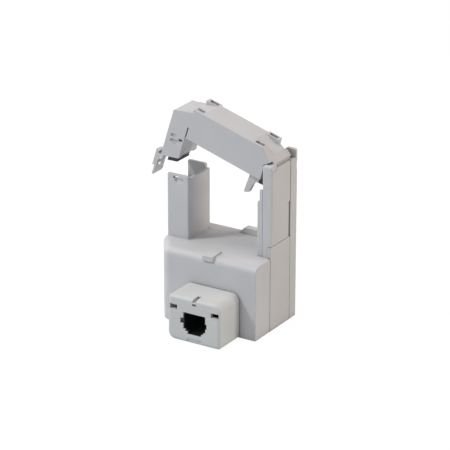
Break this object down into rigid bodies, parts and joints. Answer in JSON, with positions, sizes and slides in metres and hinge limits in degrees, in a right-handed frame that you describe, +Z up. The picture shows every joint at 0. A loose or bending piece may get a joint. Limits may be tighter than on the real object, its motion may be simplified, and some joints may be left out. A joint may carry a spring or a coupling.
{
  "type": "split-core current transformer",
  "caption": "Split-core current transformer with a hinged jaw standing open over its cable window and a modular socket on the front of its base.",
  "frame": {"origin": "on the base's underside, below the middle of the cable window and mid depth of the two posts", "axes": "+X across the window to the hinge post, +Y from the socket to the back, +Z up"},
  "size_m": [0.0572, 0.0453, 0.0835],
  "materials": {
    "housing_grey": "fine moulded texture",
    "plate_grey": "fine moulded texture",
    "hood_grey": "fine moulded texture",
    "socket_black": "moulded",
    "contact_gold": "plated",
    "board_green": "lacquered",
    "component_black": "moulded",
    "copper": "enamelled wire",
    "bobbin_white": "moulded",
    "tape_yellow": "film tape",
    "core_black": "ground and lacquered",
    "pin_steel": "bright"
  },
  "bodies": {
    "base": {"front_housing": "housing_grey", "rear_cover": "housing_grey", "upper_side_plate": "plate_grey", "lower_side_plate": "plate_grey", "window_liner": "housing_grey", "jack_hood": "hood_grey", "jack_body": "socket_black", "jack_contacts": "contact_gold", "circuit_board": "board_green", "burden_resistor": "component_black", "clamp_diode": "component_black", "coil_leads": "copper", "coil_bobbin": "bobbin_white", "secondary_winding": "copper", "winding_tape": "tape_yellow", "lower_core": "core_black", "hinge_pin_front": "pin_steel", "hinge_pin_rear": "pin_steel"},
    "jaw": {"jaw_cover": "housing_grey", "jaw_liner": "plate_grey", "upper_core": "core_black", "core_spring": "pin_steel", "latch_pin": "pin_steel"},
    "latch": {"latch": "housing_grey"}
  },
  "joints": [
    {"name": "jaw_hinge", "type": "hinge", "parent": "base", "child": "jaw", "pos_m": [0.01895, 0, 0.0649], "axis": [0, 1, 0], "range_deg": [-17.3, 27]},
    {"name": "latch_pivot", "type": "hinge", "parent": "jaw", "child": "latch", "pos_m": [-0.03037, 0, 0.06005], "axis": [0, 1, 0], "range_deg": [0, 12], "stiffness_Nm_per_rad": 0.01, "springref_deg": -17.19}
  ]
}
